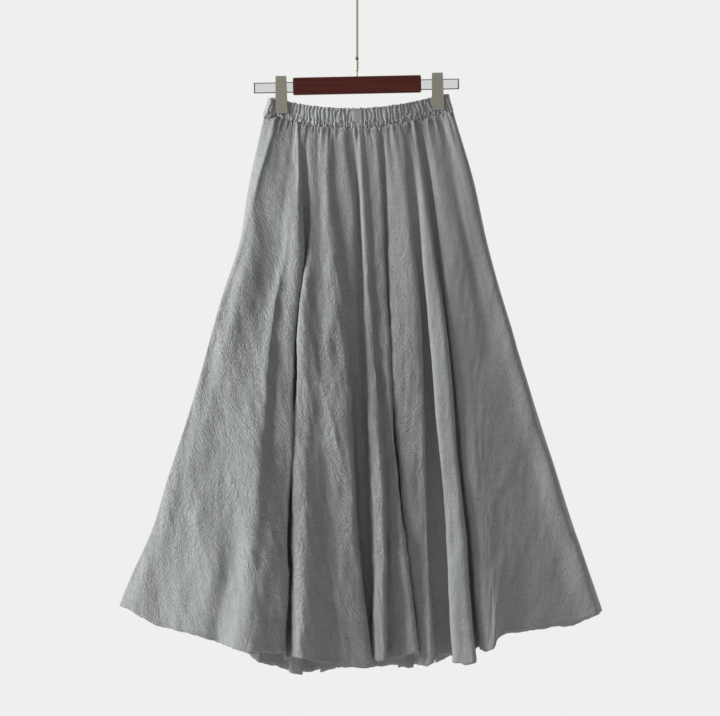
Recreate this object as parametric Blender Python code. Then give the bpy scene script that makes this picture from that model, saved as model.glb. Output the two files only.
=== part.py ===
"""A gathered maxi skirt with an elastic waistband, hanging from a clip hanger.

Metres, +Z up. The origin is the underside of the hook's top bend, where a wardrobe rail carries the
hanger. The front of the skirt faces -Y, and +X is the right-hand side of somebody who looks at it.
"""

import math

import bmesh
import bpy
from mathutils import Vector

MM = 0.001

# Driving sizes of the hanger, in metres.
BAR_DROP = 0.212  # from the hook's saddle down to the middle of the wooden bar
HANG_TILT = math.radians(1.2)  # the hanger hangs this far out of level, its right end up
BAR_SIZE = (0.218, 0.012, 0.0295)  # long, thick, tall
BAR_ROUND = 0.0028
RAIL_THICK, RAIL_TALL = 0.0025, 0.018
RAIL_Z = -0.0015  # the steel rails sit this far off the bar's middle
RAIL_ENDS = (-0.1755, 0.1735)
RAIL_LET_IN = 0.036  # how far each rail runs into the bar
CLEARANCE = 0.0003  # between pieces that touch

# The hook: a round wire that necks down where it enters the bar.
HOOK_INNER_RADIUS = 0.019
HOOK_WIRE_RADIUS = 0.0026
NECK_RADIUS = 0.0015
HOOK_TIP_ANGLE = math.radians(205)
HOOK_LEAVES_CIRCLE = math.radians(-50)
NECK_TOP, NECK_BOTTOM = 0.0475, 0.004  # above the bar's middle
COLLAR_Z = (0.0432, 0.0470)
FERRULE_Z = (0.0240, 0.0425)

# The clips: sheet metal folded over the rail, with a pad on each jaw.
CLIP_PLACES = {"left": -0.129, "right": 0.137}
CLIP_TOP, CLIP_BOTTOM = 0.0186, -0.0455
CLIP_WIDTH_TOP, CLIP_WIDTH_BOTTOM = 0.0180, 0.0206
CLIP_INNER_HALF, CLIP_SHEET = 0.0063, 0.0012
PAD_SIZE = (0.0160, 0.0014, 0.0180)
PAD_Z = -0.0350
SLIDER_SIZE = (0.0140, 0.0120, 0.0250)
SLIDER_Z = -0.0017

# The waistband: an elastic casing, pinched flat at the clips and sagging between them.
BAND_HEIGHT, BAND_WALL = 0.033, 0.0036
BAND_BELLY = (0.0088, 0.0116, 0.0100)  # how far it stands out between the clips: left, middle, right
BAND_CENTRE = 0.0025
BAND_HALF_TOP, BAND_HALF_BOTTOM = 0.1530, 0.1610
BAND_TOP, BAND_SAG = -0.019, 0.021  # at the sides, and how much lower the middle hangs
BAND_SAG_HALF = 0.142

# The cloth.
CLOTH = 0.0015
SIDE_GAP = 0.0014  # between the front and back panels along a side seam
SEAM_GAP = 0.0010  # between the waistband and the panels
GATHER_DEPTH, FOLD_DEPTH = 0.006, 0.052  # how far folds stand out at the waist and at the hem
FLOOR_DEPTH = 0.015  # how far the bottoms of the folds stand off the middle plane at the hem

# A fold line runs down the cloth. Its five places across are in millimetres from the middle, at the
# seam, hip, thigh, knee and hem. The next five numbers are how far it stands out there: from the
# waistband at the seam, and from the skirt's middle plane lower down. Its last number is how far
# below the bar the hem is there. All are in millimetres.
LEVELS = (0.0, 0.14, 0.36, 0.65, 1.0)
AT_SEAM = (0, 0, 0, 0, 0)  # a line that lies on the middle plane
FRONT_LINES = (
    ("left side seam", (-158, -185, -229, -297, -404), AT_SEAM, 885),
    ("left side hollow", (-141, -175, -226, -292, -398), (3.5, 10, 3.5, 4.5, 4.5), 887),
    ("left side fold", (-134, -171, -218, -283, -386), (5.5, 13, 5, 10, 12), 892),
    ("left sweep trough", (-130, -166, -202, -270, -343), (4.5, 12, 16, 19, 20), 914),
    ("left sweep ridge", (-116, -129, -172, -219, -262), (3, 12, 14.5, 32.5, 46), 934),
    ("left sweep dip", (-111, -121, -153, -189, -235), (2, 12.5, 18.5, 40.5, 44), 943),
    ("left crease", (-107, -112, -141, -163, -201), (2, 15.5, 27, 50, 68), 953),
    ("left crease slope", (-104, -105, -133, -149, -176), (3, 18.5, 25, 45, 74), 959),
    ("left lip", (-100, -100, -112, -121, -140), (6, 21, 29.5, 45, 60), 960),
    ("left lip edge", (-97, -94, -102, -111, -124), (5, 17.5, 26.5, 42.5, 48), 961),
    ("first gap, left floor", (-94, -92, -102, -112, -121), (6, 9, 9, 9, 10), 974),
    ("first gap, right floor", (-89, -84, -98, -109, -112), (5.5, 9, 9, 9, 10), 974),
    ("second fold edge", (-85, -80, -96, -107, -112), (4.5, 16.5, 28, 38, 42), 966),
    ("second fold crest", (-72, -73, -91, -88, -96), (3, 18.5, 31.5, 50, 72), 968),
    ("second fold trough", (-68, -63, -66, -51, -36), (2, 18, 28, 43.5, 44), 982),
    ("second fold ridge", (-49, -50, -42, -30, -14), (3, 22, 33.5, 47.5, 46), 985),
    ("second fold lip", (-43, -43, -20, -6, 21), (2.5, 20.5, 31.5, 45, 41), 984),
    ("second gap, left floor", (-40, -38, -10, -2, 22), (0, 16.5, 24, 9, 10), 984),
    ("upper middle fold", (-29, -6, -1, 7, 24), (3, 19.5, 22.5, 9.5, 11), 984),
    ("second gap, right floor", (-7, 2, 9, 20, 27), (1, 10, 14, 9, 10), 984),
    ("tube fold edge", (-2, 6, 12, 22, 28), (2, 16, 23, 28, 33.5), 974),
    ("tube fold crest", (4, 10, 19, 30, 36), (3, 19, 28.5, 39, 52.5), 974),
    ("tube fold lip", (9, 16, 26, 43, 48), (2, 17.5, 27.5, 41.5, 55), 974),
    ("middle trough", (13, 20, 30, 48, 51), (1, 14, 20, 29, 28), 977),
    ("middle fold face", (22, 32, 41, 56, 70), (3, 15, 21.5, 31, 36), 971),
    ("middle fold lip", (36, 42, 51, 66, 101), (2.5, 15, 20, 32.5, 43.5), 960),
    ("third gap, left floor", (40, 44, 51, 66, 99), (0, 9, 9, 9, 10), 974),
    ("third gap, right floor", (45, 50, 56, 72, 104), (1, 9, 9, 9, 10), 980),
    ("fourth fold edge", (49, 52, 58, 74, 106), (2, 14, 17, 24.5, 33.5), 982),
    ("fourth fold crest", (63, 70, 83, 98, 118), (3, 19, 23.5, 32.5, 38), 983),
    ("fourth fold lip", (77, 87, 106, 117, 127), (3, 20, 23.5, 32, 38), 980),
    ("fourth gap, left floor", (81, 92, 108, 118, 130), (3, 14.5, 9, 9, 10), 974),
    ("fourth gap, right floor", (86, 101, 117, 139, 161), (2, 14, 9, 9, 10), 968),
    ("fifth fold edge", (90, 105, 120, 144, 167), (3, 18, 23, 29, 37), 978),
    ("fifth fold crest", (94, 112, 134, 157, 182), (3.5, 21, 30, 38, 50.5), 981),
    ("fifth fold lip", (99, 118, 145, 170, 198), (2, 19, 29.5, 38, 51.5), 977),
    ("fifth gap, left floor", (102, 121, 147, 172, 199), (0, 9, 9, 9, 10), 962),
    ("fifth gap, right floor", (107, 127, 151, 176, 204), (1, 9, 9, 9, 10), 955),
    ("right sweep edge", (112, 130, 155, 180, 210), (2, 15, 20.5, 26, 38), 955),
    ("right sweep crest", (121, 138, 172, 199, 220), (3.5, 18, 23, 31.5, 46), 957),
    ("right sweep lip", (131, 150, 186, 208, 231), (3, 18, 22.5, 30, 47), 953),
    ("right sweep trough", (145, 158, 196, 216, 239), (0.5, 16.5, 22, 28.5, 46), 935),
    ("right sweep face", (151, 167, 209, 248, 286), (3, 15, 19, 24, 31), 925),
    ("right sweep ridge", (156, 177, 222, 283, 372), (3, 16.5, 20, 20, 17), 914),
    ("right side fold", (160, 195, 241, 313, 410), (3, 16, 20, 22, 22), 896),
    ("right side seam", (164, 199, 244, 318, 416), AT_SEAM, 891),
)

# A line of the back has its place at the waist and at the hem, in millimetres, and one reach.
BACK_LINES = (
    ("left side seam", -158, -406, 0.0),
    ("left side hollow", -150, -399, 0.25),
    ("left side fold", -136, -372, 0.75),
    ("left sweep trough", -122, -318, 0.55),
    ("left sweep ridge", -108, -262, 1.00),
    ("left sweep lip", -99, -234, 0.95),
    ("first gap, left floor", -96, -238, 0.10),
    ("first gap, right floor", -89, -222, 0.10),
    ("second fold edge", -86, -225, 0.70),
    ("second fold crest", -78, -206, 1.15),
    ("second fold trough", -66, -170, 0.70),
    ("second fold ridge", -55, -132, 1.05),
    ("second fold lip", -47, -112, 0.85),
    ("second gap, left floor", -45, -116, 0.08),
    ("second gap, right floor", -36, -96, 0.10),
    ("third fold edge", -33, -99, 0.75),
    ("third fold crest", -25, -80, 1.20),
    ("third fold lip", -17, -58, 0.85),
    ("third gap, left floor", -15, -61, 0.20),
    ("third gap, right floor", -8, -37, 0.20),
    ("fourth fold edge", -5, -39, 0.70),
    ("fourth fold crest", 6, -12, 1.10),
    ("fourth fold trough", 18, 22, 0.65),
    ("fourth fold ridge", 30, 56, 1.05),
    ("fourth fold lip", 38, 77, 0.85),
    ("fourth gap, left floor", 40, 73, 0.05),
    ("fourth gap, right floor", 48, 94, 0.10),
    ("fifth fold edge", 51, 91, 0.70),
    ("fifth fold crest", 60, 114, 1.20),
    ("fifth fold lip", 69, 140, 0.80),
    ("fifth gap, left floor", 71, 136, 0.15),
    ("fifth gap, right floor", 79, 160, 0.15),
    ("sixth fold edge", 82, 157, 0.70),
    ("sixth fold crest", 92, 182, 1.10),
    ("sixth fold lip", 102, 207, 0.85),
    ("sixth gap, left floor", 105, 203, 0.30),
    ("sixth gap, right floor", 111, 221, 0.35),
    ("right sweep edge", 114, 219, 0.75),
    ("right sweep crest", 124, 248, 1.00),
    ("right sweep trough", 134, 290, 0.60),
    ("right sweep ridge", 146, 340, 0.65),
    ("right side fold", 157, 392, 0.30),
    ("right side seam", 164, 416, 0.0),
)
BACK_FLARE = (0.0, 0.115, 0.29, 0.585, 1.0)  # how far each line has gone out at each level
BACK_HEM = (
    (-406, 885), (-300, 924), (-215, 952), (-188, 975), (-160, 989), (-135, 996), (-105, 1003), (-70, 1003),
    (-45, 996), (0, 994), (65, 993), (110, 990), (142, 981), (175, 962), (234, 928), (350, 908), (416, 891),
)
FRONT_ROWS = (0.0, 0.03, 0.07, 0.14, 0.21, 0.28, 0.36, 0.45, 0.55, 0.65, 0.74, 0.83, 0.92, 1.0)
BACK_ROWS = (0.0, 0.04, 0.1, 0.18, 0.28, 0.4, 0.52, 0.65, 0.77, 0.89, 1.0)
LONG_STEP = 0.030  # a stretch of hem longer than this gets a column of its own in the middle

COLOURS = {
    "cloth": ((0.245, 0.252, 0.250, 1.0), 0.92, 0.0),
    "wood": ((0.075, 0.018, 0.014, 1.0), 0.38, 0.0),
    "steel": ((0.72, 0.72, 0.73, 1.0), 0.16, 1.0),
    "clip metal": ((0.23, 0.22, 0.185, 1.0), 0.48, 0.4),
    "dark metal": ((0.05, 0.045, 0.04, 1.0), 0.45, 0.6),
    "pad": ((0.10, 0.10, 0.10, 1.0), 0.85, 0.0),
}


def clear_scene():
    for thing in list(bpy.data.objects):
        bpy.data.objects.remove(thing)


def material(name):
    """The Principled material of that name, made once and shared."""
    found = bpy.data.materials.get(name)
    if found:
        return found
    colour, roughness, metallic = COLOURS[name]
    made = bpy.data.materials.new(name)
    made.use_nodes = True
    shader = made.node_tree.nodes["Principled BSDF"]
    shader.inputs["Base Color"].default_value = colour
    shader.inputs["Roughness"].default_value = roughness
    shader.inputs["Metallic"].default_value = metallic
    return made


def add_object(name, data, material_name, parent=None):
    made = bpy.data.objects.new(name, data)
    made.data.materials.append(material(material_name))
    bpy.context.scene.collection.objects.link(made)
    made.parent = parent
    return made


def mesh_object(name, bm, material_name, parent=None):
    """An object from a bmesh, with its normals facing out."""
    bmesh.ops.recalc_face_normals(bm, faces=bm.faces)
    if bm.calc_volume(signed=True) < 0:
        bmesh.ops.reverse_faces(bm, faces=bm.faces)
    mesh = bpy.data.meshes.new(name)
    bm.to_mesh(mesh)
    bm.free()
    return add_object(name, mesh, material_name, parent)


def add_hang_frame():
    """The middle of the wooden bar, turned as far as the hanger hangs out of level."""
    frame = bpy.data.objects.new("hang_frame", None)
    frame.location = (0, 0, -BAR_DROP)
    frame.rotation_euler = (0, -HANG_TILT, 0)
    bpy.context.scene.collection.objects.link(frame)
    return frame


# ---- The hanger ---------------------------------------------------------------------------------


def box(name, size, centre, material_name, parent=None, bevel=0.0):
    bm = bmesh.new()
    bmesh.ops.create_cube(bm, size=1.0)
    bmesh.ops.scale(bm, vec=size, verts=bm.verts)
    bmesh.ops.translate(bm, vec=centre, verts=bm.verts)
    made = mesh_object(name, bm, material_name, parent)
    if bevel:
        rounded = made.modifiers.new("round edges", "BEVEL")
        rounded.width = bevel
        rounded.segments = 3
    return made


def cut(target, cutter):
    """Takes the cutter out of the target. The cutter stays as a helper that isn't rendered."""
    cutter.hide_render = True
    cutter.display_type = "WIRE"
    gone = target.modifiers.new("cut " + cutter.name, "BOOLEAN")
    gone.operation = "DIFFERENCE"
    gone.object = cutter


def add_bar(frame):
    """The wooden bar, with a slot in each end for a rail and a hole in the top for the hook's neck."""
    bar = box("hanger_bar", BAR_SIZE, (0, 0, 0), "wood", frame, BAR_ROUND)
    half = BAR_SIZE[0] / 2
    slot = (
        2 * (RAIL_LET_IN + CLEARANCE),
        RAIL_THICK + 2 * CLEARANCE,
        RAIL_TALL + 2 * CLEARANCE,
    )
    for side, end in (("left", -half), ("right", half)):
        cut(bar, box("slot_" + side, slot, (end, 0, RAIL_Z), "steel", frame))
    hole_bottom = NECK_BOTTOM - CLEARANCE
    hole_top = BAR_SIZE[2] / 2 + 0.002
    bm = bmesh.new()
    bmesh.ops.create_cone(
        bm,
        cap_ends=True,
        segments=24,
        radius1=NECK_RADIUS + CLEARANCE,
        radius2=NECK_RADIUS + CLEARANCE,
        depth=hole_top - hole_bottom,
    )
    bmesh.ops.translate(bm, vec=(0, 0, (hole_top + hole_bottom) / 2), verts=bm.verts)
    hole = mesh_object("neck_hole", bm, "steel")
    hole.location = (0, 0, -BAR_DROP)
    cut(bar, hole)
    return bar


def add_rails(frame):
    """The two flat steel ends that the clips slide on."""
    half = BAR_SIZE[0] / 2
    for side, outer in (("left", RAIL_ENDS[0]), ("right", RAIL_ENDS[1])):
        inner = math.copysign(half - RAIL_LET_IN, outer)
        size = (abs(outer - inner), RAIL_THICK, RAIL_TALL)
        centre = ((outer + inner) / 2, 0, RAIL_Z)
        box("rail_" + side, size, centre, "steel", frame, 0.0009)


def hook_route():
    """Points down the middle of the hook wire with the wire's radius at each, from the tip to the neck."""
    ring = HOOK_INNER_RADIUS + HOOK_WIRE_RADIUS
    centre_z = -HOOK_INNER_RADIUS
    route = []
    steps = 26
    for i in range(steps + 1):
        a = HOOK_TIP_ANGLE + (HOOK_LEAVES_CIRCLE - HOOK_TIP_ANGLE) * i / steps
        route.append((ring * math.cos(a), centre_z + ring * math.sin(a), 1.0))
    # The wire bends back the other way until it runs straight down the middle.
    turn = math.pi / 2 + HOOK_LEAVES_CIRCLE
    turn = math.pi / 2 - turn
    leave_x, leave_z, _ = route[-1]
    radius = leave_x / (1 - math.cos(turn))
    stem_z = leave_z - radius * math.sin(turn)
    for i in range(1, 9):
        a = turn * (1 - i / 8)
        route.append((radius * (1 - math.cos(a)), stem_z + radius * math.sin(a), 1.0))
    neck = NECK_RADIUS / HOOK_WIRE_RADIUS
    route.append((0, NECK_TOP + 0.0012 - BAR_DROP, 1.0))
    route.append((0, NECK_TOP - BAR_DROP, neck))
    route.append((0, NECK_BOTTOM - BAR_DROP, neck))
    return route


def add_hook():
    curve = bpy.data.curves.new("hook", "CURVE")
    curve.dimensions = "3D"
    curve.bevel_depth = HOOK_WIRE_RADIUS
    curve.bevel_resolution = 3
    curve.use_fill_caps = True
    route = hook_route()
    spline = curve.splines.new("POLY")
    spline.points.add(len(route) - 1)
    for point, (x, z, share) in zip(spline.points, route):
        point.co = (x, 0, z, 1)
        point.radius = share
    return add_object("hook", curve, "clip metal")


def sleeve(name, outer, ends, material_name, bevel):
    """A ring round the hook's neck, between two heights above the bar's middle."""
    inner = NECK_RADIUS + CLEARANCE
    low, high = ends
    bm = bmesh.new()
    corners = [
        bm.verts.new((inner, 0, low)),
        bm.verts.new((outer - bevel, 0, low)),
        bm.verts.new((outer, 0, low + bevel)),
        bm.verts.new((outer, 0, high - bevel)),
        bm.verts.new((outer - bevel, 0, high)),
        bm.verts.new((inner, 0, high)),
    ]
    profile = [bm.edges.new((a, b)) for a, b in zip(corners, corners[1:] + corners[:1])]
    bmesh.ops.spin(
        bm,
        geom=[*profile, *corners],
        cent=(0, 0, 0),
        axis=(0, 0, 1),
        angle=2 * math.pi,
        steps=24,
        use_merge=True,
    )
    made = mesh_object(name, bm, material_name)
    made.location = (0, 0, -BAR_DROP)
    return made


def add_clip(side, x, frame):
    """One clip: a sheet folded over the rail, the block that rides on the rail, and two grip pads."""
    outer = CLIP_INNER_HALF + CLIP_SHEET
    bend_z = CLIP_TOP - outer
    steps = 10
    arc = [math.pi * i / steps for i in range(steps + 1)]
    profile = [(outer, CLIP_BOTTOM)]
    profile += [(outer * math.cos(a), bend_z + outer * math.sin(a)) for a in arc]
    profile += [(-outer, CLIP_BOTTOM), (-CLIP_INNER_HALF, CLIP_BOTTOM)]
    profile += [
        (-CLIP_INNER_HALF * math.cos(a), bend_z + CLIP_INNER_HALF * math.sin(a)) for a in arc
    ]
    profile += [(CLIP_INNER_HALF, CLIP_BOTTOM)]
    bm = bmesh.new()
    face = bm.faces.new([bm.verts.new((-0.5, y, z)) for y, z in profile])
    grown = bmesh.ops.extrude_face_region(bm, geom=[face])["geom"]
    bmesh.ops.translate(bm, vec=(1, 0, 0), verts=[v for v in grown if isinstance(v, bmesh.types.BMVert)])
    for v in bm.verts:
        down = (CLIP_TOP - v.co.z) / (CLIP_TOP - CLIP_BOTTOM)
        width = CLIP_WIDTH_TOP + (CLIP_WIDTH_BOTTOM - CLIP_WIDTH_TOP) * down
        v.co.x = x + v.co.x * width
    mesh_object("clip_" + side, bm, "clip metal", frame)

    block = box("slider_" + side, SLIDER_SIZE, (x, 0, SLIDER_Z), "pad", frame)
    slot = (
        2 * SLIDER_SIZE[0],
        RAIL_THICK + 2 * CLEARANCE,
        RAIL_TALL + 2 * CLEARANCE,
    )
    cut(block, box("slider_slot_" + side, slot, (x, 0, RAIL_Z), "steel", frame))

    pad_y = CLIP_INNER_HALF - CLEARANCE - PAD_SIZE[1] / 2
    for face_name, y in (("front", -pad_y), ("back", pad_y)):
        box(f"pad_{side}_{face_name}", PAD_SIZE, (x, y, PAD_Z), "pad", frame)


# ---- Curves through points ----------------------------------------------------------------------


def smooth_through(knots, values, at):
    """A smooth value at a place between knots, passing through each knot's value."""
    i = max(j for j in range(len(knots) - 1) if at >= knots[j] or j == 0)
    slopes = []
    for j in range(len(knots)):
        a, b = max(j - 1, 0), min(j + 1, len(knots) - 1)
        slopes.append((values[b] - values[a]) / (knots[b] - knots[a]))
    span = knots[i + 1] - knots[i]
    t = (at - knots[i]) / span
    return (
        (1 + 2 * t) * (1 - t) ** 2 * values[i]
        + t * t * (3 - 2 * t) * values[i + 1]
        + span * (t * (1 - t) ** 2 * slopes[i] - t * t * (1 - t) * slopes[i + 1])
    )


def between(points, u):
    """A point on the round curve through the points, where u counts points from the first."""
    i = min(int(u), len(points) - 2)
    t = u - i
    p1, p2 = points[i], points[i + 1]
    p0 = points[i - 1] if i else mirrored(points[1])
    p3 = points[i + 2] if i + 2 < len(points) else mirrored(points[-2])
    k01, k12, k23 = (max((b - a).length, 1e-6) ** 0.5 for a, b in ((p0, p1), (p1, p2), (p2, p3)))
    m1 = (p2 - p1) + k12 * ((p1 - p0) / k01 - (p2 - p0) / (k01 + k12))
    m2 = (p2 - p1) + k12 * ((p3 - p2) / k23 - (p3 - p1) / (k12 + k23))
    return (
        (1 + 2 * t) * (1 - t) ** 2 * p1
        + t * t * (3 - 2 * t) * p2
        + t * (1 - t) ** 2 * m1
        - t * t * (1 - t) * m2
    )


def mirrored(point):
    """The same point on the other side of the skirt's middle plane, so that a panel ends square to it."""
    return Vector((point.x, -point.y, point.z))


def eased(t):
    t = min(max(t, 0.0), 1.0)
    return t * t * (3 - 2 * t)


# ---- The waistband ------------------------------------------------------------------------------


def band_outline(half):
    """The flattened ring of the waistband seen from above, as points round it from the left end."""
    left_clip, right_clip = CLIP_PLACES["left"], CLIP_PLACES["right"]
    flat = BAND_WALL / 2 + 0.0006
    left, right = BAND_CENTRE - half, BAND_CENTRE + half
    front = [
        (left, 0.0),
        (left + 0.003, 0.0048),
        (left_clip - 0.0095, flat + 0.0003),
        (left_clip + 0.0095, flat + 0.0003),
        (left_clip / 2, BAND_BELLY[0]),
        (0.0, BAND_BELLY[1]),
        (right_clip / 2, BAND_BELLY[2]),
        (right_clip - 0.0095, flat + 0.0003),
        (right_clip + 0.0095, flat + 0.0003),
        (right - 0.003, 0.0048),
        (right, 0.0),
    ]
    return [Vector((x, -y, 0)) for x, y in front]


def band_half(share):
    """Half the waistband's width, a share of the way down it."""
    return BAND_HALF_TOP + (BAND_HALF_BOTTOM - BAND_HALF_TOP) * share


def band_top(x):
    """The height of the waistband's top edge."""
    sag = BAND_SAG * max(0.0, 1 - (x / BAND_SAG_HALF) ** 2)
    return -BAR_DROP + BAND_TOP - sag + x * math.tan(HANG_TILT)


def band_front(x):
    """How far in front of the middle plane the waistband's wall is at its bottom edge."""
    outline = band_outline(BAND_HALF_BOTTOM)
    x = min(max(x, outline[0].x), outline[-1].x)
    low, high = 0.0, len(outline) - 1.0
    for _ in range(30):
        middle = (low + high) / 2
        if between(outline, middle).x < x:
            low = middle
        else:
            high = middle
    return -between(outline, low).y


def add_waistband():
    """One closed ring of wall. Its back is flatter than its front, which bulges between the clips."""
    rows = 4
    per_step = 4
    rings = []
    for row in range(rows + 1):
        share = row / rows
        outline = band_outline(band_half(share))
        count = (len(outline) - 1) * per_step
        front = [between(outline, i / per_step) for i in range(count + 1)]
        back = [Vector((p.x, -0.75 * p.y - 0.25 * flat_back(p), 0)) for p in front[-2:0:-1]]
        ring = front + back
        rings.append([Vector((p.x, p.y, band_top(p.x) - share * BAND_HEIGHT)) for p in ring])
    bm = bmesh.new()
    made = [[bm.verts.new(p) for p in ring] for ring in rings]
    for upper, lower in zip(made, made[1:]):
        for i in range(len(upper)):
            j = (i + 1) % len(upper)
            bm.faces.new((upper[i], upper[j], lower[j], lower[i]))
    band = mesh_object("waistband", bm, "cloth")
    wall = band.modifiers.new("wall", "SOLIDIFY")
    wall.thickness = BAND_WALL
    wall.offset = 0.0
    return band


def flat_back(point):
    """The back wall keeps the front's standoff where a clip pinches the band."""
    pinched = -(BAND_WALL / 2 + 0.0009)
    return max(point.y, pinched)


# ---- The panels ---------------------------------------------------------------------------------


def drawn_in(x, v):
    """A place across the skirt, drawn in a little below the hip and above the hem."""
    below_hip = math.exp(-(((v - 0.25) / 0.085) ** 2))
    above_hem = math.exp(-(((v - 0.84) / 0.08) ** 2))
    if x < 0:
        return x * (1 - 0.040 * below_hip - 0.020 * above_hem)
    return x * (1 - 0.012 * below_hip - 0.004 * above_hem)


def panel_point(x, v, out, drop, facing):
    """One point of a panel's middle surface. Facing is -1 for the front and 1 for the back."""
    x = drawn_in(x, v)
    seam_z = band_top(min(max(x, -0.16), 0.166)) - BAND_HEIGHT - SEAM_GAP
    hem_z = -BAR_DROP - drop * MM
    return Vector((x, facing * out, seam_z + (hem_z - seam_z) * v))


def line_out(across, outs, v):
    """How far a front fold line stands out, a share of the way down. Gathers start flat at the seam."""
    if outs == AT_SEAM:
        return SIDE_GAP / 2
    at_waist = band_front(across[0] * MM) / MM + outs[0]
    out = smooth_through(LEVELS, (at_waist,) + outs[1:], v)
    return (out - 0.6 * outs[0] * (1 - eased(v / 0.03))) * MM


def front_row(v):
    """The fold lines' points at one share of the way down the front."""
    return [
        panel_point(smooth_through(LEVELS, across, v) * MM, v, line_out(across, outs, v), drop, -1)
        for _, across, outs, drop in FRONT_LINES
    ]


def back_hem_drop(x):
    places = [p * MM for p, _ in BACK_HEM]
    return smooth_through(places, [d for _, d in BACK_HEM], min(max(x, places[0]), places[-1]))


def back_row(v):
    """The back's fold lines at one share of the way down it. Its side seams are the front's."""
    left = smooth_through(LEVELS, FRONT_LINES[0][1], v) * MM
    right = smooth_through(LEVELS, FRONT_LINES[-1][1], v) * MM
    flare = smooth_through(LEVELS, BACK_FLARE, v)
    places = [(waist + (hem - waist) * flare) * MM for _, waist, hem, _ in BACK_LINES]
    places[0], places[-1] = left, right
    fold_depth = GATHER_DEPTH + (FOLD_DEPTH - GATHER_DEPTH) * v**0.85
    settle = eased(v / 0.4)
    row = []
    for x, (_, _, hem, reach) in zip(places, BACK_LINES):
        taper = math.sqrt(max(0.0, 1 - (x / (left if x < 0 else right)) ** 2))
        floor = (1 - settle) * 0.75 * band_front(x) + settle * FLOOR_DEPTH * taper
        out = floor + reach * fold_depth
        if x in (left, right):
            out = SIDE_GAP / 2
        row.append(panel_point(x, v, out, back_hem_drop(hem * MM), 1))
    return row


def columns(hem_points):
    """Where the mesh has columns: on each fold line, and between two that are far apart."""
    places = [0.0, 0.12, 0.45]
    for i in range(1, len(hem_points)):
        if (hem_points[i] - hem_points[i - 1]).length > LONG_STEP and i > 1:
            places.append(i - 0.5)
        if i == len(hem_points) - 1:
            places.append(i - 0.45)
            places.append(i - 0.12)
        places.append(float(i))
    return places


def add_panel(name, row_at, rows):
    """A panel: its fold lines' points at each row, with the round curve through them between."""
    places = columns(row_at(1.0))
    bm = bmesh.new()
    grid = []
    for v in rows:
        points = row_at(v)
        grid.append([bm.verts.new(between(points, u)) for u in places])
    for upper, lower in zip(grid, grid[1:]):
        for i in range(len(places) - 1):
            bm.faces.new((upper[i], upper[i + 1], lower[i + 1], lower[i]))
    panel = mesh_object(name, bm, "cloth")
    wall = panel.modifiers.new("wall", "SOLIDIFY")
    wall.thickness = CLOTH
    wall.offset = 0.0
    return panel


def main():
    clear_scene()
    frame = add_hang_frame()
    add_bar(frame)
    add_rails(frame)
    add_hook()
    sleeve("collar", 0.0030, COLLAR_Z, "dark metal", 0.0008)
    sleeve("ferrule", 0.0027, FERRULE_Z, "clip metal", 0.0006)
    for side, x in CLIP_PLACES.items():
        add_clip(side, x, frame)
    add_waistband()
    add_panel("front_panel", front_row, FRONT_ROWS)
    add_panel("back_panel", back_row, BACK_ROWS)


main()
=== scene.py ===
# %% [markdown]
# # A maxi skirt on a clip hanger
#
# The skirt is a long tube of crinkled linen-like cloth. It flares from a gathered elastic waistband
# to a wide hem, and two clips on a wooden hanger hold the waistband up. The hanger's hard pieces
# come finished from the CAD model, so they only need their finishes. The cloth is made here: the
# CAD model has the same folds as plain thick walls, and this script lays thin, wrinkled cloth over
# the same fold lines.

# %% Load the CAD model as a fixed frame
import math

import bmesh
import bpy
import numpy as np
from mathutils import Matrix, Vector, noise


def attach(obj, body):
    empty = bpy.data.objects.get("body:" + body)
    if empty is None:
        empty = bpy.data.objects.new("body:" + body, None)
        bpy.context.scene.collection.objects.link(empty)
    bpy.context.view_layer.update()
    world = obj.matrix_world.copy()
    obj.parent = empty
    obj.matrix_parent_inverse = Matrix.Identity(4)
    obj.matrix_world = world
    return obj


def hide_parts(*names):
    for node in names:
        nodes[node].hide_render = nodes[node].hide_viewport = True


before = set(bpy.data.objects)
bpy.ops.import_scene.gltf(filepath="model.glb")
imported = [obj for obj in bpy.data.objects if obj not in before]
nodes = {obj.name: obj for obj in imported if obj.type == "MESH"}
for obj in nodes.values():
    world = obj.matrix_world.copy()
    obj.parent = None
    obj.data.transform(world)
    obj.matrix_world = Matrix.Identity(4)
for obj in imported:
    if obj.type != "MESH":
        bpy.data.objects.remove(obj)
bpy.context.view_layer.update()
print("pieces from CAD:", sorted(nodes))

# %% [markdown]
# ## The studio
#
# A skirt that hangs in front of a pale wall has no horizon behind it, so the background is the
# world itself: one pale grey where the camera looks straight at it or a shiny piece mirrors it, and
# a dimmer sky where it lights the cloth. That keeps the hollows of the folds dark. One big soft
# light stands high on the left and only a little in front of the cloth, so that it grazes it and
# every fold and crease throws a shadow. A weaker one behind on the right lifts the back. A round
# floor lies under the hem, small enough to stay out of the front view.

# %% Camera
BAR_Z = -0.212  # the middle of the hanger's wooden bar
CAMERA_DISTANCE = 5.0
PICTURE_WIDTH = 1.224  # how much of the skirt's plane the picture takes in, side to side
PICTURE_CENTRE = (0.0051, -0.6758)

camera_data = bpy.data.cameras.new("camera")
camera_data.sensor_width = 36.0
camera_data.lens = camera_data.sensor_width * CAMERA_DISTANCE / PICTURE_WIDTH
camera_data.clip_end = 50.0
camera = bpy.data.objects.new("camera", camera_data)
camera.location = (PICTURE_CENTRE[0], -CAMERA_DISTANCE, PICTURE_CENTRE[1])
camera.rotation_euler = (math.radians(90), 0, 0)
bpy.context.scene.collection.objects.link(camera)
bpy.context.scene.camera = camera
bpy.context.scene.view_settings.view_transform = "Standard"
print("lens, mm:", round(camera_data.lens, 1))

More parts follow.
